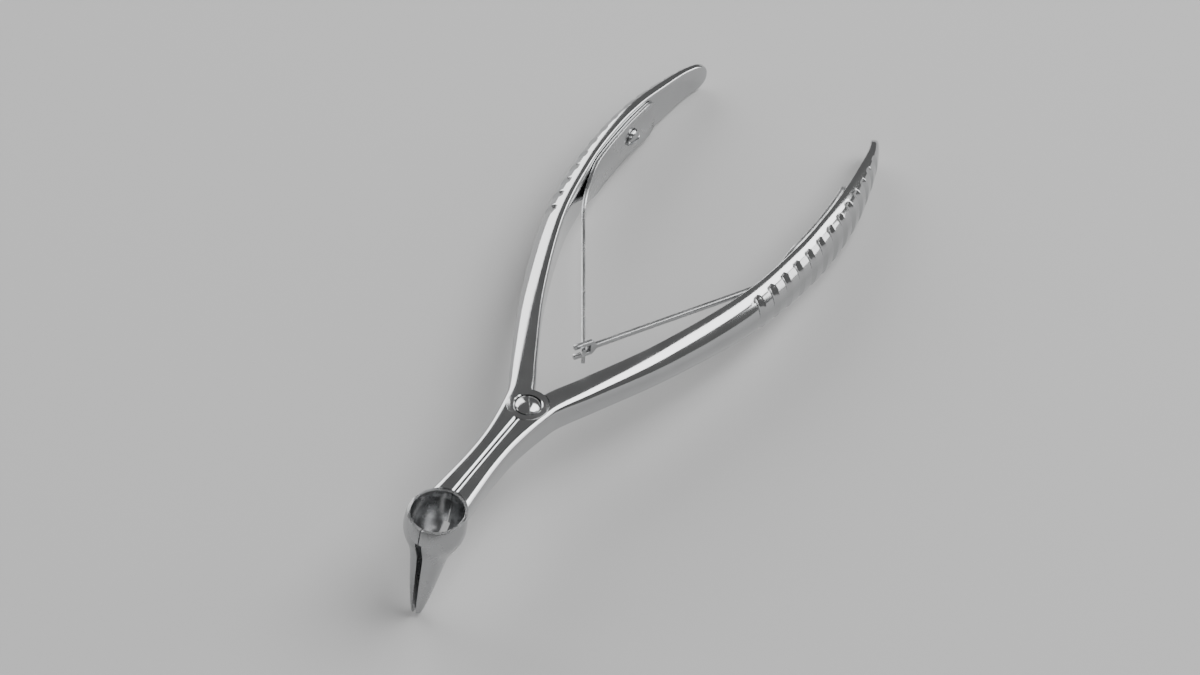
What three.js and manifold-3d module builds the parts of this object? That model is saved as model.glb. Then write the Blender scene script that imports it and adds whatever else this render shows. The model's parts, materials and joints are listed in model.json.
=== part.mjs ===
// A hinged ear and nose speculum: two bowed steel handles lapped together on one pivot screw, each with
// half of a funnel brazed to its front end, and two hooked leaf springs that keep the funnel closed.
//
// It is modelled in the levers' own frame (millimetres): the pivot axis is Z, the levers lie in XY, the
// handles run towards +X and the left lever is on the +Y side. At the end the whole instrument is tilted
// so that it rests on the bill tips and on the handles' lower edges.

import * as THREE from "three";
import { mergeVertices } from "three/addons/utils/BufferGeometryUtils.js";
import Module from "manifold-3d";

const wasm = await Module();
wasm.setup();

// ---- Overall sizes ----
const handleReach = 107; // pivot axis to the handle tips
const handleBow = 26.3; // mid-plane to the handle's centre line, where the handles are widest apart
const cupReach = 33.1; // pivot axis to the middle of the funnel's rim
const bladeLength = 23.7; // rim to bill tips, along the funnel's axis
const bladeLean = THREE.MathUtils.degToRad(16.2); // the funnel's axis leans away from the handles

// ---- Lever shapes ----
// From the pivot to each tip: share of the reach, share of the bow, thickness in plan, height along the
// pivot axis, how square the section's outer side is above and below (2 is an oval, more is squarer), and
// the share of the thickness that belongs to the flat inner side.
const handleStations = [
  [0.04, 0.148, 5.4, 6.3, 4.5, 5, 0.45],
  [0.112, 0.3, 5.3, 6.6, 3.2, 4, 0.36],
  [0.262, 0.595, 5.1, 7.7, 2.2, 3, 0.24],
  [0.449, 0.87, 5, 9.5, 2, 2.6, 0.2],
  [0.6, 0.978, 4.8, 11, 2, 2.5, 0.2],
  [0.71, 1, 4.6, 11.7, 2.1, 2.5, 0.2],
  [0.8, 0.979, 4.2, 11.2, 2.2, 2.5, 0.22],
  [0.88, 0.925, 3.5, 9.5, 2.3, 2.5, 0.28],
  [0.95, 0.86, 2.5, 7.6, 2.4, 2.4, 0.35],
];
// From the cup to the pivot: share of the way to the cup, outer edge from the mid-plane, top, bottom, and
// the same two squarenesses.
const shankStations = [
  [0.955, 4.6, 2.7, -2.2, 4, 4],
  [0.74, 4.05, 2.85, -2.5, 4, 4],
  [0.5, 3.6, 2.95, -2.9, 4, 4],
  [0.27, 3.8, 3.05, -3.05, 4.5, 4.5],
  [0, 5.2, 3.1, -3.1, 5.5, 5.5],
];
const evenShare = 0.5; // the shanks and the tips have no flatter side
const innerSquareness = 7; // of the flat side, which faces the mid-plane
const tipSpread = 20.4; // mid-plane to the middle of each handle tip
const tipThickness = 1.9;
const tipSquareness = 2.4;
const tipRadius = 2.9; // rounding of the handle tips, seen from the side
const jointHeight = 6.2; // both laps together
const seamGap = 0.24; // between the two shanks and between the two halves of the cup
const lapGap = 0.12; // between the two laps
const bossRadius = 4.2;
const bossClearance = 0.12; // between a boss and the other lever's shank

// ---- Grip grooves across each handle's outer face ----
const grooveCount = 13;
const groovePitch = 4.2;
const grooveStart = 54; // first groove, measured along the handle from the pivot
const grooveRadius = 1.1;
const grooveDepth = 0.7;

// ---- Funnel: outer radius at a depth below the rim, as [depth, radius] ----
const bowlProfile = [
  [0, 5.7],
  [1.6, 6],
  [3.4, 6.1],
  [5.1, 5.85],
  [6.6, 5.25],
  [8, 4.45],
  [9.4, 3.85],
];
const billProfile = [
  [0.17, 3.34],
  [0.48, 2.6],
  [0.79, 1.75],
]; // share of the bills' length below the bowl, radius
const billTipRadius = 0.95;
const rimHeight = 2.6; // above the levers' mid-plane
const funnelWall = 0.6;
const aboveRim = 3; // the funnel is made this much longer, and then cut level
const bandDepth = 5.1; // the closed band below the rim, above the slit
const slitTop = 1.4; // width of the slit between the bills, below the band
const slitTip = 0.7; // and at the tips
const brazeGap = 0.1; // between the cup and the shank's saddle

// ---- Pivot screw ----
const pivotShankRadius = 1.5;
const pivotHeadRadius = 2.65;
const pivotHeadRim = 0.5; // height of the head's straight edge
const pivotDome = 1; // height of the dome above that edge
const recessDepth = 1; // counterbore in the upper lap
const recessMargin = 0.15;
const pivotRunningFit = 0.08;
const pivotEndInset = 0.2; // the shank stops this far short of the lower lap's face
const pivotSlotDepth = 0.9;
const pivotSlotTurn = THREE.MathUtils.degToRad(35); // from the instrument's length to the left handle

// ---- Leaf springs and their screws ----
const leafThickness = 0.8;
const leafSeat = 0.1; // gap between a leaf and its handle
const leafWidth = 9.6;
const leafStripWidth = 1.1; // the narrow free part
const leafEnd = 89.6; // X of the broad end
const leafCorner = 3; // rounding of the broad end's corners
const leafTaperStart = 67;
const leafTaperEnd = 56;
const leafLift = 64; // X where the leaf leaves the handle
const leafBendRadius = 25;
const hookReach = 21.7; // pivot axis to the crossing of the two leaves
const hookOverlap = 2.2; // the leaves run this far past their crossing
const hookWidth = 3.6;
const hookSlot = 1.8; // width of the fork's slot
const hookHeadLength = 0.8;
const hookShoulder = 2.2; // the fork starts this far before the crossing
const hookRoot = 1.5; // the strip's own outline stops this far before the crossing
const hookNeck = 2.5; // and the hooked end starts this far before it
const leafScrewX = 80.9;
const leafScrewHeadRadius = 2;
const leafScrewHeadHeight = 1.1;
const leafScrewDome = 0.35; // the head's rounded edge
const leafScrewShankRadius = 1;
const leafScrewDepth = 3; // how far the shank goes into the handle
const leafHoleBelow = 0.3; // the hole is this much deeper
const leafScrewFit = 0.08;
const slotWidth = 0.7; // driver slots
const leafSlotDepth = 0.6;

// ---- How finely the curves are cut ----
const leverSides = 24;
const evenRings = 50;
const tipRings = 5;
const tipEnd = 0.35; // share of the tip's height left at its very end
const roundSides = 40;
const funnelSteps = 28;
const domeSteps = 6;
const flushSteps = 14; // of the leaf's part that lies on the handle
const bendSteps = 8; // and of its bend away from the handle
const taperSteps = 10;
const cornerSteps = 8;
const halvings = 40; // enough to find a place to far below a micrometre

const steel = { color: 0xb9bcbf, metalness: 1, roughness: 0.22 };
const beyond = 60; // safely larger than any piece that is cut
const clear = 1; // how far a cutter stands out of the face it cuts
const xy = (x, y) => new THREE.Vector2(x, y);

// ---- Solids from three.js geometry ----
function solid(geometry) {
  geometry.deleteAttribute("normal");
  geometry.deleteAttribute("uv");
  const merged = mergeVertices(geometry, 1e-4);
  return new wasm.Manifold(
    new wasm.Mesh({
      numProp: 3,
      vertProperties: merged.attributes.position.array,
      triVerts: new Uint32Array(merged.index.array),
    }),
  );
}

function named(name, body) {
  const mesh = body.getMesh();
  const geometry = new THREE.BufferGeometry();
  geometry.setAttribute("position", new THREE.BufferAttribute(mesh.vertProperties, 3));
  geometry.setIndex(new THREE.BufferAttribute(mesh.triVerts, 1));
  geometry.computeVertexNormals();
  const made = new THREE.Mesh(geometry, new THREE.MeshStandardMaterial(steel));
  made.name = name;
  return made;
}

function mirrored(points, side) {
  return side > 0 ? points : points.map((p) => xy(p.x, -p.y)).reverse();
}

// An outline in XY, extruded along Z from low to high.
function plate(points, low, high) {
  const geometry = new THREE.ExtrudeGeometry(new THREE.Shape(points), {
    depth: high - low,
    bevelEnabled: false,
  });
  return solid(geometry.translate(0, 0, low));
}

// An outline in XZ, extruded along Y to both sides of the mid-plane.
function sidePlate(points, halfWidth) {
  const geometry = new THREE.ExtrudeGeometry(new THREE.Shape(points), {
    depth: 2 * halfWidth,
    bevelEnabled: false,
  });
  return solid(geometry.rotateX(Math.PI / 2).translate(0, halfWidth, 0));
}

function rodGeometry(radius, low, high, x = 0, y = 0) {
  const geometry = new THREE.CylinderGeometry(radius, radius, high - low, roundSides);
  return geometry.rotateX(Math.PI / 2).translate(x, y, (low + high) / 2);
}

function blockGeometry(lowX, highX, lowY, highY, lowZ, highZ) {
  const geometry = new THREE.BoxGeometry(highX - lowX, highY - lowY, highZ - lowZ);
  return geometry.translate((lowX + highX) / 2, (lowY + highY) / 2, (lowZ + highZ) / 2);
}
const rod = (...sizes) => solid(rodGeometry(...sizes));
const block = (...limits) => solid(blockGeometry(...limits));

// The place between 0 and 1 where a rising function passes a value.
function placeWhere(rising, value) {
  let low = 0;
  let high = 1;
  for (let i = 0; i < halvings; i++) {
    const middle = (low + high) / 2;
    if (rising(middle) < value) {
      low = middle;
    } else {
      high = middle;
    }
  }
  return (low + high) / 2;
}

// ---- Lever centre line and sections: smooth functions of a share u, from 0 at the cup to 1 at the tip ----
const leverStations = [
  ...shankStations.map(([along, outer, top, bottom, upper, lower]) => ({
    x: -along * cupReach,
    y: outer / 2,
    thick: outer,
    high: top - bottom,
    middle: (top + bottom) / 2,
    upper,
    lower,
    flat: evenShare,
  })),
  ...handleStations.map(([along, out, thick, high, upper, lower, flat]) => ({
    x: along * handleReach,
    y: out * handleBow,
    thick,
    high,
    middle: 0,
    upper,
    lower,
    flat,
  })),
  {
    x: handleReach,
    y: tipSpread,
    thick: tipThickness,
    high: 2 * tipRadius,
    middle: 0,
    upper: tipSquareness,
    lower: tipSquareness,
    flat: evenShare,
  },
];
const centreLine = new THREE.SplineCurve(leverStations.map((p) => xy(p.x, p.y)));
const sections = new THREE.SplineCurve(leverStations.map((p) => xy(p.thick, p.high)));
const flatsAndMiddles = new THREE.SplineCurve(leverStations.map((p) => xy(p.flat, p.middle)));
const squarenesses = new THREE.SplineCurve(leverStations.map((p) => xy(p.upper, p.lower)));
const shareAtX = (x) => placeWhere((u) => centreLine.getPoint(u).x, x);

// Point, unit tangent and unit normal towards the mid-plane at u.
function onLever(u) {
  const point = centreLine.getPoint(u);
  const tangent = centreLine.getTangent(u);
  return { point, tangent, inward: xy(tangent.y, -tangent.x) };
}

function edgePoint(u, inwardOffset) {
  const { point, inward } = onLever(u);
  return point.clone().addScaledVector(inward, inwardOffset);
}
const halfThickness = (u) => sections.getPoint(u).x / 2;

// ---- Levers ----
const tipShare = shareAtX(handleReach - tipRadius);

// Each ring of the lever: its share u, and how much of the section's height the rounded tip leaves.
const leverRings = [];
for (let i = 0; i <= evenRings; i++) {
  leverRings.push({ u: (tipShare * i) / evenRings, left: 1 });
}
for (let i = 1; i <= tipRings; i++) {
  const angle = (Math.acos(tipEnd) * i) / tipRings;
  const way = Math.sin(angle) / Math.sin(Math.acos(tipEnd));
  leverRings.push({ u: tipShare + (1 - tipShare) * way, left: Math.cos(angle) });
}

// A cylinder whose rings are laid along the centre line and shaped to its sections.
function leverBody(side) {
  const rings = leverRings.length - 1;
  const geometry = new THREE.CylinderGeometry(1, 1, 1, leverSides, rings);
  const position = geometry.attributes.position;
  const shaped = (value, exponent) => {
    const size = Math.abs(value) < 1e-9 ? 0 : Math.abs(value) ** (2 / exponent);
    return Math.sign(value) * size;
  };
  for (let i = 0; i < position.count; i++) {
    const { u, left } = leverRings[Math.round((0.5 - position.getY(i)) * rings)];
    const across = position.getX(i);
    const up = position.getZ(i);
    const outer = squarenesses.getPoint(u);
    const outerSquareness = up > 0 ? outer.x : outer.y;
    const squareness = side * across > 0 ? outerSquareness : innerSquareness;
    const { point, inward } = onLever(u);
    const section = sections.getPoint(u);
    const { x: flat, y: middle } = flatsAndMiddles.getPoint(u);
    const depth = side * across > 0 ? 1 - flat : flat;
    const offset = (flat - evenShare + side * shaped(across, squareness) * depth) * section.x;
    const outward = point.clone().addScaledVector(inward, -offset);
    const height = middle + shaped(up, squareness) * left * (section.y / 2);
    position.setXYZ(i, outward.x, side * outward.y, height);
  }
  return solid(geometry);
}

// Round cutters laid across the outer face of the grip.
function gripGrooves(side) {
  const total = centreLine.getLength();
  const pivotShare = shareAtX(0);
  const beforePivot = total * placeWhere((share) => centreLine.getUtoTmapping(share), pivotShare);
  const cutters = [];
  for (let i = 0; i < grooveCount; i++) {
    const along = beforePivot + grooveStart + i * groovePitch;
    const u = centreLine.getUtoTmapping(along / total);
    const at = edgePoint(u, -(halfThickness(u) - grooveDepth + grooveRadius));
    cutters.push(rod(grooveRadius, -beyond, beyond, at.x, side * at.y));
  }
  return cutters.reduce((all, one) => all.add(one));
}

// ---- Funnel ----
const bowlDepth = bowlProfile[bowlProfile.length - 1][0];
const wallStations = [
  ...bowlProfile,
  ...billProfile.map(([share, radius]) => [bowlDepth + share * (bladeLength - bowlDepth), radius]),
  [bladeLength, billTipRadius],
];
const wallCurve = new THREE.SplineCurve(wallStations.map(([depth, radius]) => xy(radius, -depth)));

// The wall's line as radius and height, moved outwards by a distance.
function wallOffset(distance) {
  const points = [];
  for (let i = 0; i <= funnelSteps; i++) {
    const point = wallCurve.getPoint(i / funnelSteps);
    const tangent = wallCurve.getTangent(i / funnelSteps);
    points.push(xy(point.x - tangent.y * distance, point.y + tangent.x * distance));
  }
  return points;
}

// Geometry made about the Z axis, stood where the funnel stands.
function atFunnel(geometry) {
  return solid(geometry.rotateY(bladeLean).translate(-cupReach, 0, rimHeight));
}

function turned(profile) {
  return new THREE.LatheGeometry(profile, roundSides).rotateX(Math.PI / 2);
}

// The funnel filled in and grown by a margin, to cut the saddle in a shank.
function funnelForm(margin) {
  const wall = wallOffset(margin);
  const top = wall[0];
  const end = wall[wall.length - 1];
  const profile = [xy(0, aboveRim), xy(top.x, aboveRim), ...wall, xy(0, end.y - margin)];
  return atFunnel(turned(profile.reverse()));
}

function funnelShell() {
  const outer = wallOffset(0);
  const inner = wallOffset(-funnelWall);
  const profile = [
    xy(inner[0].x, aboveRim),
    xy(outer[0].x, aboveRim),
    ...outer,
    ...inner.reverse(),
  ];
  profile.push(profile[0].clone());
  return atFunnel(turned(profile.reverse()));
}

// A wedge that opens the slit between the two bills, below the closed band.
function slitCutter() {
  const outline = [
    xy(-slitTop / 2, -bandDepth),
    xy(-slitTip / 2, -bladeLength - clear),
    xy(slitTip / 2, -bladeLength - clear),
    xy(slitTop / 2, -bandDepth),
  ];
  const geometry = new THREE.ExtrudeGeometry(new THREE.Shape(outline), {
    depth: beyond,
    bevelEnabled: false,
  });
  return atFunnel(geometry.translate(0, 0, -beyond / 2).rotateY(Math.PI / 2).rotateX(Math.PI / 2));
}

function blade(side) {
  const half = block(
    -beyond * 2,
    beyond,
    side > 0 ? seamGap / 2 : -beyond,
    side > 0 ? beyond : -seamGap / 2,
    -beyond,
    rimHeight,
  );
  return funnelShell().intersect(half).subtract(slitCutter());
}

// ---- Leaf springs ----
const hookPoint = xy(hookReach, 0);

// The left leaf's middle line in plan: flush with the handle, then bent away towards the crossing.
function leafMiddle() {
  const points = [];
  const first = shareAtX(leafEnd);
  const last = shareAtX(leafLift);
  for (let i = 0; i <= flushSteps; i++) {
    const u = first + ((last - first) * i) / flushSteps;
    points.push(edgePoint(u, halfThickness(u) + leafSeat + leafThickness / 2));
  }
  const lift = points[points.length - 1];
  const travel = lift.clone().sub(points[points.length - 2]).normalize();
  const centre = lift.clone().addScaledVector(xy(-travel.y, travel.x), leafBendRadius);
  const toHook = hookPoint.clone().sub(centre);
  const endAngle = toHook.angle() - Math.acos(leafBendRadius / toHook.length());
  const startAngle = lift.clone().sub(centre).angle();
  for (let i = 1; i <= bendSteps; i++) {
    const angle = startAngle + ((endAngle - startAngle) * i) / bendSteps;
    const arm = xy(Math.cos(angle), Math.sin(angle)).multiplyScalar(leafBendRadius);
    points.push(centre.clone().add(arm));
  }
  return points;
}
const leafLine = leafMiddle();
const stripDirection = hookPoint.clone().sub(leafLine[leafLine.length - 1]).normalize();

// A line in plan widened to an outline of this thickness.
function ribbon(points, thickness) {
  const left = [];
  const right = [];
  points.forEach((point, i) => {
    const before = points[Math.max(i - 1, 0)];
    const after = points[Math.min(i + 1, points.length - 1)];
    const along = after.clone().sub(before).normalize();
    const across = xy(-along.y, along.x).multiplyScalar(thickness / 2);
    left.push(point.clone().add(across));
    right.push(point.clone().sub(across));
  });
  return [...left, ...right.reverse()];
}

// The leaf's outline in height against X: narrow strip, taper, and broad end with rounded corners.
function leafSide() {
  const half = leafWidth / 2;
  const strip = leafStripWidth / 2;
  const taperMiddle = (leafTaperStart + leafTaperEnd) / 2;
  const taper = new THREE.CubicBezierCurve(
    xy(leafTaperEnd, strip),
    xy(taperMiddle, strip),
    xy(taperMiddle, half),
    xy(leafTaperStart, half),
  );
  const top = [xy(-beyond, strip), ...taper.getPoints(taperSteps)];
  for (let i = 0; i <= cornerSteps; i++) {
    const angle = (Math.PI / 2) * (1 - i / cornerSteps);
    top.push(
      xy(
        leafEnd - leafCorner + leafCorner * Math.cos(angle),
        half - leafCorner + leafCorner * Math.sin(angle),
      ),
    );
  }
  const bottom = top.map((p) => xy(p.x, -p.y)).reverse();
  return [...top, ...bottom].reverse();
}

// A slab along the free strip, from one distance before the crossing to another beyond it.
function stripSlab(side, before, past, low, high) {
  const start = hookPoint.clone().addScaledVector(stripDirection, -before);
  const end = hookPoint.clone().addScaledVector(stripDirection, past);
  return plate(mirrored(ribbon([start, end], leafThickness), side), low, high);
}

function screwPlace(side) {
  const u = shareAtX(leafScrewX);
  const { tangent, inward } = onLever(u);
  const seat = edgePoint(u, halfThickness(u));
  return {
    seat: new THREE.Vector3(seat.x, side * seat.y, 0),
    inward: new THREE.Vector3(inward.x, side * inward.y, 0),
    along: new THREE.Vector3(tangent.x, side * tangent.y, 0),
  };
}

// Turns geometry made along +Z from the handle's inner face to stand on that face at the screw.
function atScrew(geometry, side) {
  const { seat, inward, along } = screwPlace(side);
  const across = new THREE.Vector3().crossVectors(inward, along);
  const turn = new THREE.Matrix4().makeBasis(along, across, inward).setPosition(seat);
  return solid(geometry.applyMatrix4(turn));
}

function leafSpring(side) {
  const line = [...leafLine, hookPoint.clone().addScaledVector(stripDirection, -hookRoot)];
  const broad = plate(mirrored(ribbon(line, leafThickness), side), -beyond, beyond).intersect(
    sidePlate(leafSide(), beyond),
  );
  const hook = side > 0 ? hookHead(side) : hookFork(side);
  const holeRadius = leafScrewShankRadius + leafScrewFit;
  const hole = atScrew(rodGeometry(holeRadius, -clear, leafThickness + clear), side);
  return broad.add(hook).subtract(hole);
}

// The left leaf ends in a narrow neck with a cross-head, and the right leaf in a fork that holds it.
function hookHead(side) {
  const neck = leafStripWidth / 2;
  const headStart = hookHeadLength - hookOverlap;
  return stripSlab(side, hookNeck, hookOverlap, -neck, neck).add(
    stripSlab(side, headStart, hookOverlap, -hookWidth / 2, hookWidth / 2),
  );
}

function hookFork(side) {
  const slotEnd = hookReach + hookShoulder / 2;
  const slot = block(slotEnd - beyond, slotEnd, -beyond, beyond, -hookSlot / 2, hookSlot / 2);
  return stripSlab(side, hookShoulder, hookOverlap, -hookWidth / 2, hookWidth / 2).subtract(slot);
}

// ---- Screws ----
function driverSlot(halfLength, low, high) {
  return blockGeometry(-halfLength, halfLength, -slotWidth / 2, slotWidth / 2, low, high);
}

function springScrew(side) {
  const under = leafSeat + leafThickness + leafSeat;
  const top = under + leafScrewHeadHeight;
  const profile = [
    xy(0, -leafScrewDepth),
    xy(leafScrewShankRadius, -leafScrewDepth),
    xy(leafScrewShankRadius, under),
    xy(leafScrewHeadRadius, under),
    xy(leafScrewHeadRadius, top - leafScrewDome),
    xy(leafScrewHeadRadius - leafScrewDome, top),
    xy(0, top),
  ];
  const slot = driverSlot(leafScrewHeadRadius + clear, top - leafSlotDepth, top + clear);
  return atScrew(turned(profile), side).subtract(atScrew(slot, side));
}

function pivotScrew() {
  const halfJoint = jointHeight / 2;
  const seat = halfJoint - recessDepth + pivotRunningFit;
  const edge = seat + pivotHeadRim;
  const top = edge + pivotDome;
  const profile = [
    xy(0, pivotEndInset - halfJoint),
    xy(pivotShankRadius, pivotEndInset - halfJoint),
    xy(pivotShankRadius, seat),
    xy(pivotHeadRadius, seat),
    xy(pivotHeadRadius, edge),
  ];
  for (let i = 1; i < domeSteps; i++) {
    const angle = ((Math.PI / 2) * i) / domeSteps;
    profile.push(xy(pivotHeadRadius * Math.cos(angle), edge + pivotDome * Math.sin(angle)));
  }
  profile.push(xy(0, top));
  const slot = driverSlot(pivotHeadRadius + clear, top - pivotSlotDepth, top + clear);
  return solid(turned(profile)).subtract(solid(slot.rotateZ(pivotSlotTurn)));
}

// ---- Whole levers ----
// The upper lap belongs to the left lever (side 1), and the lower lap to the right lever (side -1).
function lever(side) {
  const halfJoint = jointHeight / 2;
  const lapFace = (side * lapGap) / 2;
  const lapOuter = side * halfJoint;
  const boss = rod(bossRadius, Math.min(lapFace, lapOuter), Math.max(lapFace, lapOuter));
  const otherBoss = rod(
    bossRadius + bossClearance,
    Math.min(lapFace, -side * beyond),
    Math.max(lapFace, -side * beyond),
  );
  const screwFit = side > 0 ? pivotRunningFit : pivotRunningFit / 2;
  const screwHole = rod(pivotShankRadius + screwFit, -beyond, beyond);
  const holeRadius = leafScrewShankRadius + leafScrewFit;
  const springHole = atScrew(rodGeometry(holeRadius, -leafScrewDepth - leafHoleBelow, clear), side);
  const otherSide = block(
    -beyond,
    jointHeight,
    side > 0 ? -beyond : -seamGap / 2,
    side > 0 ? seamGap / 2 : beyond,
    -beyond,
    beyond,
  );
  const body = leverBody(side)
    .subtract(otherSide)
    .subtract(otherBoss)
    .add(boss)
    .subtract(screwHole)
    .subtract(springHole)
    .subtract(gripGrooves(side))
    .subtract(funnelForm(brazeGap));
  const recess = rod(pivotHeadRadius + recessMargin, halfJoint - recessDepth, beyond);
  return side > 0 ? body.subtract(recess) : body;
}

// ---- Assembly ----
const levers = [named("left_lever", lever(1)), named("right_lever", lever(-1))];
const blades = [named("left_blade", blade(1)), named("right_blade", blade(-1))];
const instrument = new THREE.Group();
instrument.add(
  ...levers,
  ...blades,
  named("pivot_screw", pivotScrew()),
  named("left_leaf_spring", leafSpring(1)),
  named("right_leaf_spring", leafSpring(-1)),
  named("left_spring_screw", springScrew(1)),
  named("right_spring_screw", springScrew(-1)),
);

// Lowest height of these meshes once the instrument is tilted about Y.
function lowest(meshes, tilt) {
  let low = Infinity;
  for (const mesh of meshes) {
    const { array } = mesh.geometry.attributes.position;
    for (let i = 0; i < array.length; i += 3) {
      low = Math.min(low, array[i + 2] * Math.cos(tilt) - array[i] * Math.sin(tilt));
    }
  }
  return low;
}

// The tilt at which the bill tips and the handles' lower edges touch one flat surface.
const steepest = Math.PI / 6;
const bladesAboveLevers = (share) => {
  const tilt = share * steepest;
  return lowest(blades, tilt) - lowest(levers, tilt);
};
instrument.rotation.y = steepest * placeWhere(bladesAboveLevers, 0);

// The origin is on the surface below, in the middle of the instrument's length.
const group = new THREE.Group();
group.add(instrument);
group.updateMatrixWorld(true);
const bounds = new THREE.Box3().setFromObject(group, true);
instrument.position.set(-(bounds.min.x + bounds.max.x) / 2, 0, -bounds.min.z);

export default group;
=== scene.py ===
import json
import math

import bmesh
import bpy
from bpy.props import FloatProperty, FloatVectorProperty, IntProperty, PointerProperty
from mathutils import Matrix, Quaternion, Vector


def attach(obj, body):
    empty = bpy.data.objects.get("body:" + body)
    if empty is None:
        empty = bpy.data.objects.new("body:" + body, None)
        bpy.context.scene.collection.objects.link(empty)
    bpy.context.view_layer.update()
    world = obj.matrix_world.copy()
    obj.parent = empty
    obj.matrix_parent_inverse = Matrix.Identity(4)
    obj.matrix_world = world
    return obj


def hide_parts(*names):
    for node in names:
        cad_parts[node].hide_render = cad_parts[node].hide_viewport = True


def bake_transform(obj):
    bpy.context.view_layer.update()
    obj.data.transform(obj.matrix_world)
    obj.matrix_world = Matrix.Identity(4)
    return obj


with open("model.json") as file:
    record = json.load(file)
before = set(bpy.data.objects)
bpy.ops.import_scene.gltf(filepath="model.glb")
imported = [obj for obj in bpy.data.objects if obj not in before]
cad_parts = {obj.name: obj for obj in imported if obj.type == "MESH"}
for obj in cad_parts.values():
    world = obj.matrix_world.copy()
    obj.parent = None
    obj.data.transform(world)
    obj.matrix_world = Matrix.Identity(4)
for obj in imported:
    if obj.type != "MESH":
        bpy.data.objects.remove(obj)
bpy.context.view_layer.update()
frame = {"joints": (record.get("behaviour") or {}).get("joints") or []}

bl_info = {
    "name": "Hinged ear speculum",
    "version": (1, 0, 0),
    "blender": (4, 5, 0),
    "location": "View3D > Sidebar > Speculum",
    "description": "Fine surfaces and steel finishes for a sprung two-blade ear speculum",
    "category": "Object",
}

# ---- The levers' own frame, in millimetres ----
# The pivot axis is Z, the handles run towards +X and the left lever is on the +Y side. TO_WORLD turns
# it into the model's frame, in metres.
PIVOT = next(j for j in frame["joints"] if j["name"] == "lever_pivot")
TILT = math.atan2(-PIVOT["axis"][0], -PIVOT["axis"][2])
TO_WORLD = (
    Matrix.Translation(PIVOT["pos_m"]) @ Matrix.Rotation(TILT, 4, "Y") @ Matrix.Scale(0.001, 4)
)

# Overall sizes
HANDLE_REACH = 107.0
HANDLE_BOW = 26.3
CUP_REACH = 33.1
BLADE_LENGTH = 23.7
BLADE_LEAN = math.radians(16.2)

# Levers: share of the reach, share of the bow, thickness in plan, height along the pivot axis, how
# square the section's outer side is above and below (2 is an oval, more is squarer), and the share of
# the thickness that belongs to the flat inner side
HANDLE_STATIONS = [
    (0.04, 0.148, 5.4, 6.3, 4.5, 5, 0.45),
    (0.112, 0.3, 5.3, 6.6, 3.2, 4, 0.36),
    (0.262, 0.595, 5.1, 7.7, 2.2, 3, 0.24),
    (0.449, 0.87, 5.0, 9.5, 2, 2.6, 0.2),
    (0.6, 0.978, 4.8, 11.0, 2, 2.5, 0.2),
    (0.71, 1.0, 4.6, 11.7, 2.1, 2.5, 0.2),
    (0.8, 0.979, 4.2, 11.2, 2.2, 2.5, 0.22),
    (0.88, 0.925, 3.5, 9.5, 2.3, 2.5, 0.28),
    (0.95, 0.86, 2.5, 7.6, 2.4, 2.4, 0.35),
]
# Share of the way to the cup, outer edge from the mid-plane, top, bottom, and the two squarenesses
SHANK_STATIONS = [
    (0.955, 4.6, 2.7, -2.2, 4, 4),
    (0.74, 4.05, 2.85, -2.5, 4, 4),
    (0.5, 3.6, 2.95, -2.9, 4, 4),
    (0.27, 3.8, 3.05, -3.05, 4.5, 4.5),
    (0.0, 5.2, 3.1, -3.1, 5.5, 5.5),
]
EVEN_SHARE = 0.5  # the shanks and the tips have no flatter side
INNER_SQUARENESS = 7  # of the flat side, which faces the mid-plane
TIP_SPREAD = 20.4
TIP_THICKNESS = 1.9
TIP_SQUARENESS = 2.4
TIP_RADIUS = 2.9
TIP_NARROWING = 0.4  # share of the thickness that the rounded tip loses
TIP_END = 0.25  # share of the height left at the very end of a tip
TIP_RINGS = 12
GRIP_RING_SPACING = 0.22
RING_SPACING = 1.1
JOINT_HEIGHT = 6.2
SEAM_GAP = 0.24
LAP_GAP = 0.12
BOSS_RADIUS = 4.2
BOSS_CLEARANCE = 0.12

GROOVE_COUNT = 13
GROOVE_PITCH = 4.2
GROOVE_START = 54.0
GRIP_LEAD = 2.0  # the close rings start this far before the first groove
GROOVE_FADE = (0.3, 0.6)  # how near the crown a groove starts and has its full depth

# Funnel: depth below the rim, outer radius
BOWL_PROFILE = [
    (0, 5.7),
    (1.6, 6.0),
    (3.4, 6.1),
    (5.1, 5.85),
    (6.6, 5.25),
    (8, 4.45),
    (9.4, 3.85),
]
BILL_PROFILE = [(0.17, 3.34), (0.48, 2.6), (0.79, 1.75)]
BILL_TIP_RADIUS = 0.95
RIM_HEIGHT = 2.6
BAND_DEPTH = 5.1
SLIT_TOP = 1.4
SLIT_TIP = 0.7
ABOVE_RIM = 3.0  # the funnel is made this much longer, and then cut level
SADDLE_FIT = 0.02

PIVOT_SHANK_RADIUS = 1.5
PIVOT_END_INSET = 0.2  # the shank stops this far short of the lower lap's face
PIVOT_HEAD_RADIUS = 2.65
PIVOT_HEAD_RIM = 0.5
PIVOT_DOME = 1.0
PIVOT_SLOT_TURN = math.radians(35)  # from the instrument's length towards the left handle
RECESS_DEPTH = 1.0
RECESS_MARGIN = 0.15
RECESS_CHAMFER = 0.2
RECESS_CHAMFER_DEPTH = 0.15
RUNNING_FIT = 0.08

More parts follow.
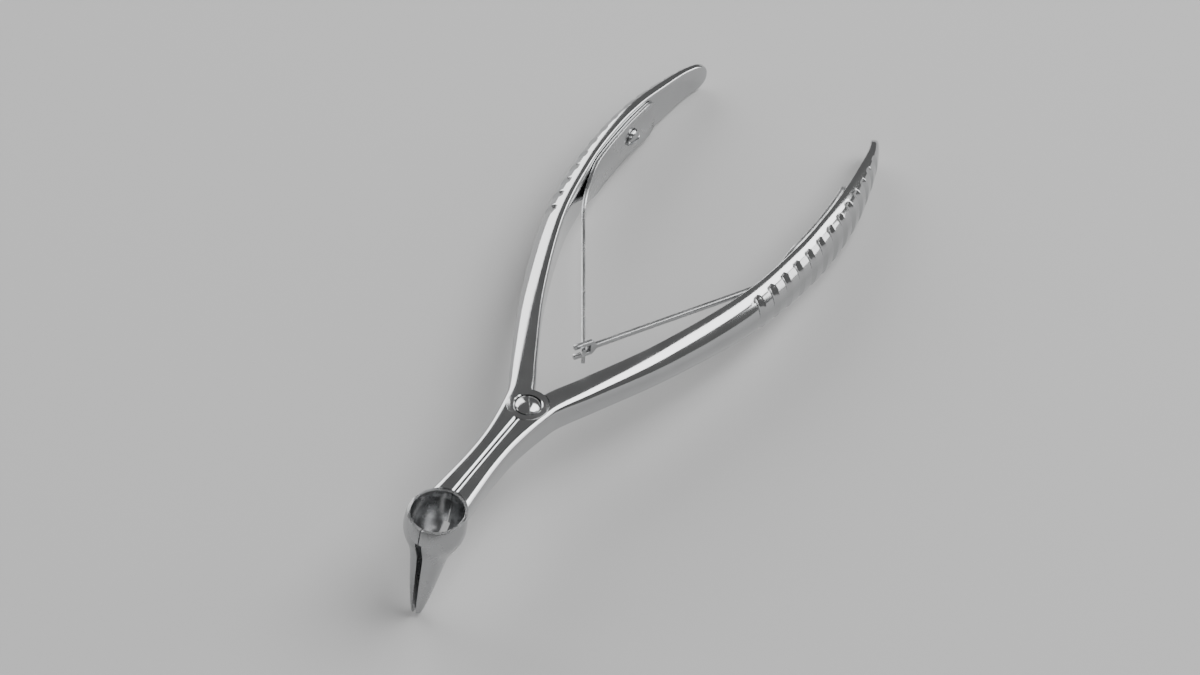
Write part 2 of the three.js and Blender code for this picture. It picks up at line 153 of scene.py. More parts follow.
LEAF_THICKNESS = 0.8
LEAF_SEAT = 0.1
LEAF_WIDTH = 9.6
LEAF_STRIP_WIDTH = 1.1
LEAF_END = 89.6
LEAF_CORNER = 3.0
LEAF_TAPER_START = 67.0
LEAF_TAPER_END = 56.0
LEAF_LIFT = 64.0
LEAF_BEND_RADIUS = 25.0
LEAF_BLEND_START = 6.0  # the leaf starts to give this far before it leaves the handle
HOOK_REACH = 21.7
HOOK_OVERLAP = 2.2
HOOK_WIDTH = 3.6
HOOK_SLOT = 1.8
HOOK_HEAD_LENGTH = 0.8
HOOK_SHOULDER = 2.2
LEAF_SCREW_X = 80.9
LEAF_SCREW_HEAD_RADIUS = 2.0
LEAF_SCREW_HEAD_HEIGHT = 1.1
LEAF_SCREW_SHANK_RADIUS = 1.0
LEAF_SCREW_DEPTH = 3.0
LEAF_SCREW_RIM = 0.45
LEAF_HOLE_BELOW = 0.3  # the hole is this much deeper
SLOT_WIDTH = 0.7
SLOT_DEPTH = 0.6
PIVOT_SLOT_DEPTH = 0.9
SLOT_REACH = 4.0  # half the length of the cutter for a driver slot

BEYOND = 60.0  # safely larger than any piece that is cut
CLEAR = 1.0  # how far a cutter stands out of the face it cuts
HALVINGS = 40
SMALL_STEP = 1e-4  # for the direction of a curve, as a share of its length
SHARP = math.radians(40)  # an edge steeper than this gets its rounding


# ---- Sizes and colours to change by hand ----
class SpeculumSizes(bpy.types.PropertyGroup):
    lever_sides: IntProperty(
        name="Sides of a lever",
        description="Facets round a lever's section",
        default=64,
        min=16,
        max=128,
    )
    groove_depth: FloatProperty(
        name="Groove depth",
        description="Depth of the grip grooves, in millimetres",
        default=0.8,
        min=0,
        max=1,
    )
    groove_width: FloatProperty(
        name="Groove width",
        description="Width of one grip groove, in millimetres",
        default=1.9,
        min=0.5,
        max=4,
    )
    funnel_wall: FloatProperty(
        name="Funnel wall",
        description="Wall of the cup and the bills, in millimetres",
        default=0.6,
        min=0.2,
        max=1,
    )
    lip_rounding: FloatProperty(
        name="Lip rounding",
        description="Rounding of the cup's rim, in millimetres",
        default=0.2,
        min=0,
        max=0.3,
    )
    edge_rounding: FloatProperty(
        name="Edge rounding",
        description="Rounding of screw heads, bosses and leaf edges, in millimetres",
        default=0.16,
        min=0,
        max=0.3,
    )


class SpeculumColours(bpy.types.PropertyGroup):
    lever_steel: FloatVectorProperty(
        name="Lever steel",
        description="Polished steel of the levers",
        subtype="COLOR",
        default=(0.5, 0.505, 0.51),
        min=0,
        max=1,
    )
    funnel_steel: FloatVectorProperty(
        name="Funnel steel",
        description="Bright steel of the cup and the bills",
        subtype="COLOR",
        default=(0.42, 0.425, 0.43),
        min=0,
        max=1,
    )
    spring_steel: FloatVectorProperty(
        name="Spring steel",
        description="Satin steel of the leaf springs",
        subtype="COLOR",
        default=(0.5, 0.505, 0.51),
        min=0,
        max=1,
    )
    screw_steel: FloatVectorProperty(
        name="Screw steel",
        description="Turned steel of the three screws",
        subtype="COLOR",
        default=(0.48, 0.485, 0.49),
        min=0,
        max=1,
    )
    floor: FloatVectorProperty(
        name="Floor",
        description="Colour of the plain floor",
        subtype="COLOR",
        default=(0.52, 0.52, 0.52),
        min=0,
        max=1,
    )


def sizes():
    return bpy.context.scene.speculum_sizes


def colours():
    return bpy.context.scene.speculum_colours


# ---- Curves through stations ----
def through(stations):
    """A smooth curve through the stations, as a function of a share from 0 to 1."""
    last = len(stations) - 1

    def at(share):
        place = last * min(max(share, 0.0), 1.0)
        i = min(int(place), last - 1)
        t = place - i
        picks = [stations[max(min(i + k, last), 0)] for k in (-1, 0, 1, 2)]
        values = []
        for a, b, c, d in zip(*picks):
            start = (c - a) / 2
            end = (d - b) / 2
            values.append(
                (2 * b - 2 * c + start + end) * t**3
                + (-3 * b + 3 * c - 2 * start - end) * t**2
                + start * t
                + b
            )
        return values

    return at


LEVER_STATIONS = [
    (
        -along * CUP_REACH,
        outer / 2,
        outer,
        top - bottom,
        (top + bottom) / 2,
        upper,
        lower,
        EVEN_SHARE,
    )
    for along, outer, top, bottom, upper, lower in SHANK_STATIONS
]
LEVER_STATIONS += [
    (along * HANDLE_REACH, out * HANDLE_BOW, thick, high, 0.0, upper, lower, flat)
    for along, out, thick, high, upper, lower, flat in HANDLE_STATIONS
]
LEVER_STATIONS.append(
    (
        HANDLE_REACH,
        TIP_SPREAD,
        TIP_THICKNESS,
        2 * TIP_RADIUS,
        0.0,
        TIP_SQUARENESS,
        TIP_SQUARENESS,
        EVEN_SHARE,
    )
)
lever_at = through(LEVER_STATIONS)


def centre(share):
    x, y = lever_at(share)[:2]
    return Vector((x, y, 0))


def inward(share):
    """Unit vector across the lever, towards the mid-plane."""
    before = centre(max(share - SMALL_STEP, 0))
    after = centre(min(share + SMALL_STEP, 1))
    along = (after - before).normalized()
    return Vector((along.y, -along.x, 0))


def half_thickness(share):
    return lever_at(share)[2] / 2


def share_at_x(x):
    """The share at which the lever's centre line has this X."""
    low, high = 0.0, 1.0
    for _ in range(HALVINGS):
        middle = (low + high) / 2
        if centre(middle).x < x:
            low = middle
        else:
            high = middle
    return (low + high) / 2


def edge_point(share, offset):
    return centre(share) + inward(share) * offset


# ---- Modelling with operators ----
def deselect():
    if bpy.context.object and bpy.context.object.mode != "OBJECT":
        bpy.ops.object.mode_set(mode="OBJECT")
    bpy.ops.object.select_all(action="DESELECT")


def pick(obj):
    deselect()
    obj.select_set(True)
    bpy.context.view_layer.objects.active = obj
    return obj


def ring_stack(name, sides, count, place, capped=True):
    """A circle extruded ring by ring. place(ring, cosine, sine) then gives each corner its position."""
    deselect()
    fill = "NGON" if capped else "NOTHING"
    bpy.ops.mesh.primitive_circle_add(vertices=sides, radius=1, fill_type=fill)
    obj = bpy.context.object
    obj.name = name
    bpy.ops.object.mode_set(mode="EDIT")
    bpy.ops.mesh.select_all(action="SELECT")
    for _ in range(count - 1):
        bpy.ops.mesh.extrude_region_move(TRANSFORM_OT_translate={"value": (0, 0, 1)})
    bpy.ops.object.mode_set(mode="OBJECT")
    for vertex in obj.data.vertices:
        ring = round(vertex.co.z)
        vertex.co = place(ring, vertex.co.x, vertex.co.y)
    return obj


def tidy_normals(obj):
    pick(obj)
    bpy.ops.object.mode_set(mode="EDIT")
    bpy.ops.mesh.select_all(action="SELECT")
    bpy.ops.mesh.remove_doubles(threshold=1e-4)
    bpy.ops.mesh.normals_make_consistent(inside=False)
    bpy.ops.object.mode_set(mode="OBJECT")
    return obj


def turned(name, profile, sides=72):
    """A solid of revolution about Z. The profile runs from bottom to top as (radius, height)."""

    def place(ring, cosine, sine):
        radius, height = profile[ring]
        return (radius * cosine, radius * sine, height)

    return tidy_normals(ring_stack(name, sides, len(profile), place))


def apply_modifier(obj, kind, **settings):
    pick(obj)
    modifier = obj.modifiers.new(kind.title(), kind)
    for key, value in settings.items():
        setattr(modifier, key, value)
    bpy.ops.object.modifier_apply(modifier=modifier.name)


def combine(obj, tool, operation):
    """Joins, cuts or keeps the common part, and uses the tool up."""
    apply_modifier(obj, "BOOLEAN", operation=operation, object=tool, solver="EXACT")
    mesh = tool.data
    bpy.data.objects.remove(tool)
    bpy.data.meshes.remove(mesh)
    return obj


def cut(obj, tool):
    return combine(obj, tool, "DIFFERENCE")


def block(low, high):
    deselect()
    middle = [(a + b) / 2 for a, b in zip(low, high)]
    bpy.ops.mesh.primitive_cube_add(size=1, location=middle)
    obj = bpy.context.object
    obj.scale = [b - a for a, b in zip(low, high)]
    bpy.ops.object.transform_apply(location=True, rotation=True, scale=True)
    return obj


def rod(radius, low, high, sides=96):
    return turned("rod", [(radius, low), (radius, high)], sides)


def bevel_edges(obj, width, chosen, segments=3):
    """Rounds the sharp edges whose two corners both pass the test."""
    pick(obj)
    bpy.ops.object.mode_set(mode="EDIT")
    bpy.ops.mesh.select_mode(type="EDGE")
    bpy.ops.mesh.select_all(action="DESELECT")
    mesh = bmesh.from_edit_mesh(obj.data)
    for edge in mesh.edges:
        if edge.calc_face_angle(0) > SHARP and all(chosen(v.co) for v in edge.verts):
            edge.select_set(True)
    bmesh.update_edit_mesh(obj.data)
    bpy.ops.mesh.bevel(offset=width, segments=segments, affect="EDGES", clamp_overlap=True)
    bpy.ops.object.mode_set(mode="OBJECT")


def finished(obj, name, node, body, material, matrix=TO_WORLD, smooth=35):
    """Puts a piece in its place, in metres, and lets it stand for its CAD node."""
    pick(obj)
    obj.name = name
    obj.data.name = name
    obj.data.transform(matrix @ obj.matrix_world)
    obj.matrix_world = Matrix.Identity(4)
    bpy.ops.object.shade_smooth_by_angle(angle=math.radians(smooth))
    obj.data.materials.clear()
    obj.data.materials.append(material)
    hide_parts(node)
    if body:
        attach(obj, body)
    return obj


# ---- Steel ----
def steel(name, colour, roughness, grain, grain_depth):
    """Worked steel: cloudy polish and fine draw marks along the piece."""
    material = bpy.data.materials.new(name)
    material.use_nodes = True
    nodes = material.node_tree.nodes
    links = material.node_tree.links
    shader = nodes["Principled BSDF"]
    shader.inputs["Metallic"].default_value = 1.0

    place = nodes.new("ShaderNodeTexCoord")
    cloud = nodes.new("ShaderNodeTexNoise")
    cloud.inputs["Scale"].default_value = 160
    cloud.inputs["Detail"].default_value = 4
    links.new(place.outputs["Object"], cloud.inputs["Vector"])

    drawn = nodes.new("ShaderNodeMapping")
    drawn.inputs["Scale"].default_value = grain
    links.new(place.outputs["Object"], drawn.inputs["Vector"])
    marks = nodes.new("ShaderNodeTexNoise")
    marks.inputs["Scale"].default_value = 1.0
    marks.inputs["Detail"].default_value = 6
    marks.inputs["Roughness"].default_value = 0.65
    links.new(drawn.outputs["Vector"], marks.inputs["Vector"])

    tone = nodes.new("ShaderNodeMix")
    tone.data_type = "RGBA"
    tone.inputs["A"].default_value = (*[c * 0.93 for c in colour], 1)
    tone.inputs["B"].default_value = (*[min(c * 1.06, 1) for c in colour], 1)
    links.new(cloud.outputs["Fac"], tone.inputs["Factor"])
    links.new(tone.outputs["Result"], shader.inputs["Base Color"])

    polish = nodes.new("ShaderNodeMapRange")
    polish.inputs["From Min"].default_value = 0.3
    polish.inputs["From Max"].default_value = 0.7
    polish.inputs["To Min"].default_value = roughness * 0.75
    polish.inputs["To Max"].default_value = roughness * 1.3
    links.new(cloud.outputs["Fac"], polish.inputs["Value"])
    worn = nodes.new("ShaderNodeMath")
    worn.operation = "MULTIPLY_ADD"
    worn.inputs[1].default_value = roughness * 0.5
    links.new(marks.outputs["Fac"], worn.inputs[0])
    links.new(polish.outputs["Result"], worn.inputs[2])
    links.new(worn.outputs["Value"], shader.inputs["Roughness"])

    bump = nodes.new("ShaderNodeBump")
    bump.inputs["Strength"].default_value = 0.5
    bump.inputs["Distance"].default_value = grain_depth
    links.new(marks.outputs["Fac"], bump.inputs["Height"])
    links.new(bump.outputs["Normal"], shader.inputs["Normal"])
    return material


ALONG = (60, 900, 900)  # marks drawn along the instrument
ALL_ROUND = (900, 900, 900)


def steels():
    """The four finishes, made once."""
    wanted = {
        "lever steel": (colours().lever_steel, 0.1, ALONG, 0.000008),
        "funnel steel": (colours().funnel_steel, 0.2, ALL_ROUND, 0.000002),
        "spring steel": (colours().spring_steel, 0.2, ALONG, 0.000004),
        "screw steel": (colours().screw_steel, 0.1, ALL_ROUND, 0.000006),
    }
    for name, (colour, roughness, grain, depth) in wanted.items():
        if name not in bpy.data.materials:
            steel(name, tuple(colour), roughness, grain, depth)
    return bpy.data.materials


# ---- Levers ----
def lever_rings():
    """Shares along the lever: close together over the grip, and bunched at the rounded tip."""
    samples = 2000
    lengths = [0.0]
    for i in range(samples):
        step = centre((i + 1) / samples) - centre(i / samples)
        lengths.append(lengths[-1] + step.length)

    def length_at(share):
        return lengths[min(round(share * samples), samples)]

    def share_at(length):
        for i, value in enumerate(lengths):
            if value >= length:
                return i / samples
        return 1.0

    pivot_length = length_at(share_at_x(0))
    tip_share = share_at_x(HANDLE_REACH - TIP_RADIUS)
    tip_length = length_at(tip_share)
    grip_length = pivot_length + GROOVE_START - GRIP_LEAD
    rings = []
    length = 0.0
    while length < tip_length:
        share = share_at(length)
        rings.append((share, length - pivot_length, 1.0))
        length += GRIP_RING_SPACING if length > grip_length else RING_SPACING
    widest = math.acos(TIP_END)
    for i in range(TIP_RINGS + 1):
        angle = widest * i / TIP_RINGS
        way = math.sin(angle) / math.sin(widest)
        share = tip_share + (1 - tip_share) * way
        rings.append((share, length_at(share) - pivot_length, math.cos(angle)))
    return rings


def groove_at(length):
    """How far the grip grooves reach below the outer face at this length from the pivot."""
    half = sizes().groove_width / 2
    nearest = round((length - GROOVE_START) / GROOVE_PITCH)
    if not 0 <= nearest < GROOVE_COUNT:
        return 0.0
    away = abs(length - GROOVE_START - nearest * GROOVE_PITCH)
    if away > half:
        return 0.0
    return sizes().groove_depth * (1 - (away / half) ** 2)


def smooth_step(low, high, value):
    share = min(max((value - low) / (high - low), 0.0), 1.0)
    return share * share * (3 - 2 * share)


def powered(value, squareness):
    """Turns a circle's cosine or sine into that of a squarer section."""
    if abs(value) < 1e-9:
        return 0.0
    return math.copysign(abs(value) ** (2 / squareness), value)


def lever_body(side):
    rings = lever_rings()

    def place(ring, cosine, sine):
        share, length, left = rings[ring]
        thick, high, middle, upper, lower, flat = lever_at(share)[2:]
        thick *= 1 - TIP_NARROWING * (1 - left)
        squareness = INNER_SQUARENESS
        depth = flat
        if cosine > 0:
            squareness = upper if sine > 0 else lower
            depth = 1 - flat
        out = (flat - EVEN_SHARE + powered(cosine, squareness) * depth) * thick
        out -= groove_at(length) * left * smooth_step(*GROOVE_FADE, cosine)
        point = centre(share) - inward(share) * out
        height = middle + powered(sine, squareness) * left * high / 2
        return (point.x, side * point.y, height)

    return tidy_normals(ring_stack("lever", sizes().lever_sides, len(rings), place))


def funnel_frame():
    """Z runs up the funnel's axis, and its origin is the middle of the rim."""
    stand = Matrix.Translation((-CUP_REACH, 0, RIM_HEIGHT))
    return stand @ Matrix.Rotation(BLADE_LEAN, 4, "Y")


def funnel_wall(offset, steps=64):
    """The funnel's wall line as (radius, height), moved outwards by offset."""
    bowl_depth = BOWL_PROFILE[-1][0]
    line = [(radius, -depth) for depth, radius in BOWL_PROFILE]
    line += [
        (radius, -bowl_depth - share * (BLADE_LENGTH - bowl_depth))
        for share, radius in BILL_PROFILE
    ]
    line.append((BILL_TIP_RADIUS, -BLADE_LENGTH))
    at = through(line)
    points = []
    for i in range(steps + 1):
        share = i / steps
        here = Vector(at(share))
        before = Vector(at(max(share - SMALL_STEP, 0)))
        after = Vector(at(min(share + SMALL_STEP, 1)))
        along = (after - before).normalized()
        points.append((here.x - along.y * offset, here.y + along.x * offset))
    return points


def placed(obj, matrix):
    obj.data.transform(matrix @ obj.matrix_world)
    obj.matrix_world = Matrix.Identity(4)
    return obj


def filled_funnel(margin):
    """The funnel's outer form, to cut the saddle in a shank."""
    wall = funnel_wall(margin)
    profile = [(wall[0][0], 2 * ABOVE_RIM)] + wall
    return placed(turned("funnel form", profile[::-1], 96), funnel_frame())


def boss(low, high):
    """A lap's round boss, with its outer edge rounded."""
    obj = rod(BOSS_RADIUS, low, high)
    outer_face = max(abs(low), abs(high))
    rounding = sizes().edge_rounding / 2
    if rounding:
        bevel_edges(obj, rounding, lambda co: abs(abs(co.z) - outer_face) < 1e-3)
    return obj


def screw_recess():
    """Cutter for the pivot screw's recess in the upper lap, with a chamfered mouth."""
    half_joint = JOINT_HEIGHT / 2
    radius = PIVOT_HEAD_RADIUS + RECESS_MARGIN
    mouth = radius + RECESS_CHAMFER
    profile = [
        (radius, half_joint - RECESS_DEPTH),
        (radius, half_joint - RECESS_CHAMFER_DEPTH),
        (mouth, half_joint),
        (mouth, half_joint + 2 * CLEAR),
    ]
    return turned("recess", profile, 96)


def side_block(side, gap, low_x, high_x, high_z):
    """A block on one side of the mid-plane. It stops at the gap's edge."""
    reach = sorted((side * gap, side * BEYOND))
    return block((low_x, reach[0], -BEYOND), (high_x, reach[1], high_z))


def lever(side):
    lap_face = side * LAP_GAP / 2
    obj = lever_body(side)
    cut(obj, side_block(-side, -SEAM_GAP / 2, -BEYOND, JOINT_HEIGHT, BEYOND))
    other_lap = sorted((lap_face, -side * BEYOND))
    cut(obj, rod(BOSS_RADIUS + BOSS_CLEARANCE, *other_lap))
    own_lap = sorted((lap_face, side * JOINT_HEIGHT / 2))
    combine(obj, boss(*own_lap), "UNION")
    fit = RUNNING_FIT if side > 0 else RUNNING_FIT / 2
    cut(obj, rod(PIVOT_SHANK_RADIUS + fit, -BEYOND, BEYOND))
    if side > 0:
        cut(obj, screw_recess())
    cut(obj, filled_funnel(SADDLE_FIT))
    cut(obj, spring_hole(side))
    return obj


# ---- Cup and bills ----
def slit_cutter():
    """A wedge that opens the slit between the bills, below the closed band."""
    slit = block((-BEYOND, -0.5, -BLADE_LENGTH - CLEAR), (BEYOND, 0.5, -BAND_DEPTH))
    for vertex in slit.data.vertices:
        at_band = vertex.co.z > -BAND_DEPTH - CLEAR / 2
        vertex.co.y *= SLIT_TOP if at_band else SLIT_TIP
    return placed(slit, funnel_frame())


def blade(side):
    wall = sizes().funnel_wall
    outer = funnel_wall(0)
    inner = funnel_wall(-wall)
    profile = [(inner[0][0], ABOVE_RIM)] + inner
    profile += [(outer[-1][0] - wall / 2, -BLADE_LENGTH)]
    profile += outer[:-1][::-1] + [(outer[0][0], ABOVE_RIM)]

    def place(ring, cosine, sine):
        radius, height = profile[ring]
        return (radius * cosine, radius * sine, height)

    obj = ring_stack("blade", 128, len(profile), place, capped=False)
    pick(obj)
    bpy.ops.object.mode_set(mode="EDIT")
    bpy.ops.mesh.select_mode(type="EDGE")
    bpy.ops.mesh.select_all(action="SELECT")
    bpy.ops.mesh.region_to_loop()
    bpy.ops.mesh.bridge_edge_loops()
    bpy.ops.object.mode_set(mode="OBJECT")
    tidy_normals(obj)
    placed(obj, funnel_frame())
    half = side_block(side, SEAM_GAP / 2, -2 * BEYOND, BEYOND, RIM_HEIGHT)
    combine(obj, half, "INTERSECT")
    cut(obj, slit_cutter())
    bevel_edges(obj, sizes().lip_rounding, lambda co: abs(co.z - RIM_HEIGHT) < 1e-3)
    return obj


# ---- Screws ----
def dome(radius, low, high, steps=8):
    """Profile of a domed head, from its edge to its top."""
    points = []
    for i in range(steps):
        angle = math.pi / 2 * i / steps
        points.append((radius * math.cos(angle), low + (high - low) * math.sin(angle)))
    return points + [(0.02, high)]


def driver_slot(bottom, top):
    return block((-SLOT_REACH, -SLOT_WIDTH / 2, bottom), (SLOT_REACH, SLOT_WIDTH / 2, top + CLEAR))


def pivot_screw():
    half_joint = JOINT_HEIGHT / 2
    seat = half_joint - RECESS_DEPTH + RUNNING_FIT
    edge = seat + PIVOT_HEAD_RIM
    top = edge + PIVOT_DOME
    profile = [
        (PIVOT_SHANK_RADIUS, PIVOT_END_INSET - half_joint),
        (PIVOT_SHANK_RADIUS, seat),
        (PIVOT_HEAD_RADIUS - 0.08, seat),
        (PIVOT_HEAD_RADIUS, seat + 0.08),
        (PIVOT_HEAD_RADIUS, edge - 0.1),
    ]
    profile += dome(PIVOT_HEAD_RADIUS - 0.05, edge, top, 12)
    obj = turned("pivot screw", profile, 96)
    slot = driver_slot(top - PIVOT_SLOT_DEPTH, top)
    return cut(obj, placed(slot, Matrix.Rotation(PIVOT_SLOT_TURN, 4, "Z")))


def screw_frame(side):
    """Z stands on the handle's inner face at the spring screw, and X runs along the handle."""
    share = share_at_x(LEAF_SCREW_X)
    seat = edge_point(share, half_thickness(share))
    out = inward(share)
    z = Vector((out.x, side * out.y, 0))
    x = Vector((-out.y, side * out.x, 0))
    y = z.cross(x)
    turn = Matrix((x, y, z)).transposed().to_4x4()
    return Matrix.Translation((seat.x, side * seat.y, 0)) @ turn


def spring_hole(side):
    radius = LEAF_SCREW_SHANK_RADIUS + RUNNING_FIT
    hole = rod(radius, -LEAF_SCREW_DEPTH - LEAF_HOLE_BELOW, 6 * CLEAR, 48)
    return placed(hole, screw_frame(side))


def spring_screw(side):
    under = 2 * LEAF_SEAT + LEAF_THICKNESS
    top = under + LEAF_SCREW_HEAD_HEIGHT
    radius = LEAF_SCREW_HEAD_RADIUS
    profile = [
        (LEAF_SCREW_SHANK_RADIUS, -LEAF_SCREW_DEPTH),
        (LEAF_SCREW_SHANK_RADIUS, under),
        (radius - 0.06, under),
        (radius, under + 0.06),
        (radius, under + LEAF_SCREW_RIM),
    ]
    profile += dome(radius - 0.04, under + 0.5, top, 8)
    obj = turned("spring screw", profile, 72)
    return placed(cut(obj, driver_slot(top - SLOT_DEPTH, top)), screw_frame(side))


# ---- Leaf springs ----
def leaf_line():
    """Middle line of the left leaf in plan, from its broad end to its free end past the hook."""
    offset = LEAF_SEAT + LEAF_THICKNESS / 2
    first = share_at_x(LEAF_END)
    last = share_at_x(LEAF_LIFT)
    points = []
    steps = 36
    for i in range(steps + 1):
        share = first + (last - first) * i / steps
        points.append(edge_point(share, half_thickness(share) + offset))
    travel = (points[-1] - points[-2]).normalized()
    inwards = Vector((-travel.y, travel.x, 0))
    middle = points[-1] + inwards * LEAF_BEND_RADIUS
    hook = Vector((HOOK_REACH, 0, 0))
    to_hook = hook - middle
    reach = math.acos(LEAF_BEND_RADIUS / to_hook.length)
    end_angle = math.atan2(to_hook.y, to_hook.x) % (2 * math.pi) - reach
    arm = points[-1] - middle
    start_angle = math.atan2(arm.y, arm.x) % (2 * math.pi)
    bends = 18
    for i in range(1, bends + 1):
        angle = start_angle + (end_angle - start_angle) * i / bends
        points.append(middle + LEAF_BEND_RADIUS * Vector((math.cos(angle), math.sin(angle), 0)))
    along = (hook - points[-1]).normalized()
    free = (hook - points[-1]).length
    strip_steps = 40
    lifted = points[-1]
    for i in range(1, strip_steps + 1):
        points.append(lifted + along * (free + HOOK_OVERLAP) * i / strip_steps)
    return points, along


def leaf_half_height(x):
    """Half the leaf's height at this X: broad and rounded at its end, tapering to a narrow strip."""
    half = LEAF_WIDTH / 2
    strip = LEAF_STRIP_WIDTH / 2
    if x <= LEAF_TAPER_END:
        return strip
    if x < LEAF_TAPER_START:
        return strip + (half - strip) * smooth_step(LEAF_TAPER_END, LEAF_TAPER_START, x)
    inside = min(x - (LEAF_END - LEAF_CORNER), LEAF_CORNER)
    if inside > 0:
        return half - LEAF_CORNER + math.sqrt(LEAF_CORNER**2 - inside**2)
    return half


def leaf_spring(side):
    points, along = leaf_line()
    hook = Vector((HOOK_REACH, 0, 0))

    def half_height(point):
        before = (hook - point).dot(along)
        if side > 0 and before < -(HOOK_OVERLAP - HOOK_HEAD_LENGTH):
            return HOOK_WIDTH / 2
        if side < 0 and before < HOOK_SHOULDER:
            return HOOK_WIDTH / 2
        return leaf_half_height(point.x)

    deselect()
    bpy.ops.mesh.primitive_plane_add(size=1)
    obj = bpy.context.object
    bpy.ops.object.mode_set(mode="EDIT")
    bpy.ops.mesh.select_mode(type="VERT")
    bpy.ops.mesh.select_all(action="DESELECT")
    mesh = bmesh.from_edit_mesh(obj.data)
    for edge in mesh.edges:
        if all(v.co.x > 0 for v in edge.verts):
            edge.select_set(True)
    bmesh.update_edit_mesh(obj.data)
    for _ in range(len(points) - 2):
        bpy.ops.mesh.extrude_region_move(TRANSFORM_OT_translate={"value": (1, 0, 0)})
    bpy.ops.object.mode_set(mode="OBJECT")
    for vertex in obj.data.vertices:
        point = points[round(vertex.co.x + 0.5)]
        height = math.copysign(half_height(point), vertex.co.y)
        vertex.co = (point.x, side * point.y, height)
    tidy_normals(obj)
    apply_modifier(
        obj, "SOLIDIFY", thickness=LEAF_THICKNESS, offset=0, use_even_offset=True
    )
    if side < 0:
        slot = block(
            (HOOK_REACH - 2 * HOOK_OVERLAP, -BEYOND, -HOOK_SLOT / 2),
            (HOOK_REACH + HOOK_SHOULDER / 2, BEYOND, HOOK_SLOT / 2),
        )
        cut(obj, slot)
    cut(obj, spring_hole(side))
    apply_modifier(
        obj,
        "BEVEL",
        width=sizes().edge_rounding,
        segments=2,
        limit_method="ANGLE",
        angle_limit=math.radians(60),
    )
    return obj


def bend_between(obj):
    """Bakes the leaf's placement into its mesh and does not bend it. Its path along its own handle at
    the screw, crossing the other leaf on the mid-plane, comes from leaf_line.
    """
    lift = centre(share_at_x(LEAF_LIFT + LEAF_BLEND_START))
    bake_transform(obj)


# ---- Operators, one for each kind of piece and one for the stage ----
SIDES = {"left": 1, "right": -1}


class SPECULUM_OT_levers(bpy.types.Operator):
    """Models the two levers, with their laps, grip grooves and saddles for the cup"""

    bl_idname = "speculum.levers"
    bl_label = "Levers"

    def execute(self, context):
        for name, side in SIDES.items():
            finished(
                lever(side),
                f"{name}_lever_forging",
                f"{name}_lever",
                f"{name}_half",
                steels()["lever steel"],
            )
        return {"FINISHED"}


class SPECULUM_OT_blades(bpy.types.Operator):
    """Models the two halves of the cup with their bills"""

    bl_idname = "speculum.blades"
    bl_label = "Cup and bills"

    def execute(self, context):
        for name, side in SIDES.items():
            finished(
                blade(side),
                f"{name}_cup_and_bill",
                f"{name}_blade",
                f"{name}_half",
                steels()["funnel steel"],
            )
        return {"FINISHED"}


class SPECULUM_OT_screws(bpy.types.Operator):
    """Models the pivot screw and the two spring screws"""

    bl_idname = "speculum.screws"
    bl_label = "Screws"

    def execute(self, context):
        material = steels()["screw steel"]
        finished(
            pivot_screw(), "pivot_screw_turned", "pivot_screw", "right_half", material
        )
        for name, side in SIDES.items():
            finished(
                spring_screw(side),
                f"{name}_spring_screw_turned",
                f"{name}_spring_screw",
                f"{name}_half",
                material,
            )
        return {"FINISHED"}


class SPECULUM_OT_springs(bpy.types.Operator):
    """Models the two leaf springs, hooked together between the handles"""

    bl_idname = "speculum.springs"
    bl_label = "Leaf springs"

    def execute(self, context):
        for name, side in SIDES.items():
            piece = finished(
                leaf_spring(side),
                f"{name}_leaf_spring_strip",
                f"{name}_leaf_spring",
                None,
                steels()["spring steel"],
            )
            bend_between(piece)
        return {"FINISHED"}


def softbox(name, place, target, size, watts, roll=0.0):
    light = bpy.data.lights.new(name, "AREA")
    light.shape = "RECTANGLE"
    light.size = size[0]
    light.size_y = size[1]
    light.energy = watts
    lamp = bpy.data.objects.new(name, light)
    bpy.context.scene.collection.objects.link(lamp)
    lamp.location = place
    aim = (Vector(target) - Vector(place)).to_track_quat("-Z", "Y")
    lamp.rotation_euler = (aim @ Quaternion((0, 0, 1), math.radians(roll))).to_euler()
    return lamp


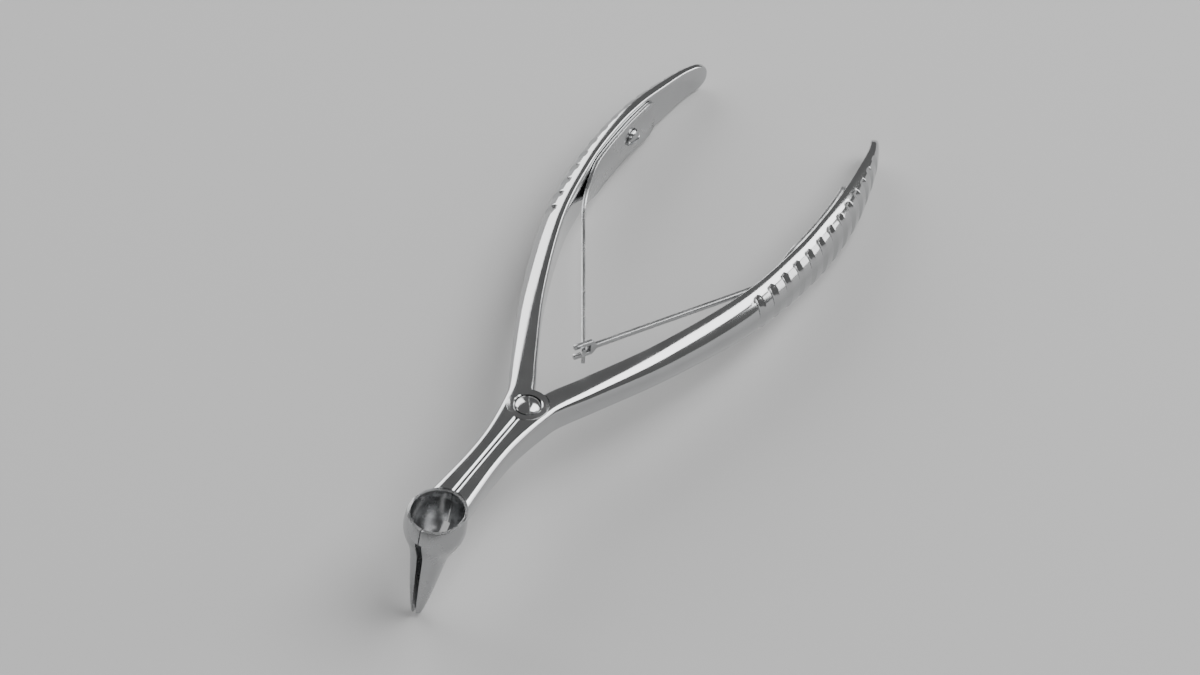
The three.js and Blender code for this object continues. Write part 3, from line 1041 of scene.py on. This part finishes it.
class SPECULUM_OT_stage(bpy.types.Operator):
    """Sets the floor, the soft lights and the camera"""

    bl_idname = "speculum.stage"
    bl_label = "Stage"

    def execute(self, context):
        deselect()
        bpy.ops.mesh.primitive_plane_add(size=20, location=(0, 0, -0.0002))
        floor = bpy.context.object
        floor.name = "floor"
        material = bpy.data.materials.new("pale floor")
        material.use_nodes = True
        shader = material.node_tree.nodes["Principled BSDF"]
        shader.inputs["Base Color"].default_value = (*colours().floor, 1)
        shader.inputs["Roughness"].default_value = 0.9
        shader.inputs["Specular IOR Level"].default_value = 0.2
        floor.data.materials.append(material)

        world = bpy.data.worlds.new("room")
        context.scene.world = world
        world.use_nodes = True
        backdrop = world.node_tree.nodes["Background"]
        backdrop.inputs["Color"].default_value = (0.5, 0.5, 0.5, 1)
        backdrop.inputs["Strength"].default_value = 0.36

        centre_of_object = (0, 0, 0.01)
        softbox("strip over the grip", (1.06, -0.68, 1.55), centre_of_object, (1.8, 1.4), 46, -45)
        softbox("window", (1.3, -1.7, 0.66), centre_of_object, (0.9, 1.2), 12)
        softbox("left back", (-1.15, 2.15, 0.6), centre_of_object, (0.8, 1.0), 10)
        softbox("low back", (0.95, 2.1, 1.0), centre_of_object, (2.2, 1.8), 50)
        softbox("fill", (-1.6, -1.3, 1.9), centre_of_object, (1.0, 1.0), 8)

        camera = bpy.data.cameras.new("camera")
        camera.lens = 135
        camera.sensor_width = 36
        camera.clip_start = 0.01
        view = bpy.data.objects.new("camera", camera)
        context.scene.collection.objects.link(view)
        view.location = (-0.4902, -0.2869, 0.7092)
        aim = Vector((-0.004, 0.0, 0.010))
        view.rotation_euler = (aim - view.location).to_track_quat("-Z", "Y").to_euler()
        context.scene.camera = view
        return {"FINISHED"}


class SPECULUM_PT_panel(bpy.types.Panel):
    """Sizes, colours and the steps that build the speculum"""

    bl_label = "Ear speculum"
    bl_idname = "SPECULUM_PT_panel"
    bl_space_type = "VIEW_3D"
    bl_region_type = "UI"
    bl_category = "Speculum"

    def draw(self, context):
        layout = self.layout
        for group in (sizes(), colours()):
            for key in group.__annotations__:
                layout.prop(group, key)
        for operator in STEPS:
            layout.operator(operator.bl_idname)


STEPS = (
    SPECULUM_OT_levers,
    SPECULUM_OT_blades,
    SPECULUM_OT_screws,
    SPECULUM_OT_springs,
    SPECULUM_OT_stage,
)
CLASSES = (SpeculumSizes, SpeculumColours, *STEPS, SPECULUM_PT_panel)


def register():
    for cls in CLASSES:
        bpy.utils.register_class(cls)
    bpy.types.Scene.speculum_sizes = PointerProperty(type=SpeculumSizes)
    bpy.types.Scene.speculum_colours = PointerProperty(type=SpeculumColours)


def unregister():
    del bpy.types.Scene.speculum_sizes
    del bpy.types.Scene.speculum_colours
    for cls in reversed(CLASSES):
        bpy.utils.unregister_class(cls)


def main():
    register()
    bpy.ops.speculum.levers()
    bpy.ops.speculum.blades()
    bpy.ops.speculum.screws()
    bpy.ops.speculum.springs()
    bpy.ops.speculum.stage()


if __name__ == "__main__":
    main()
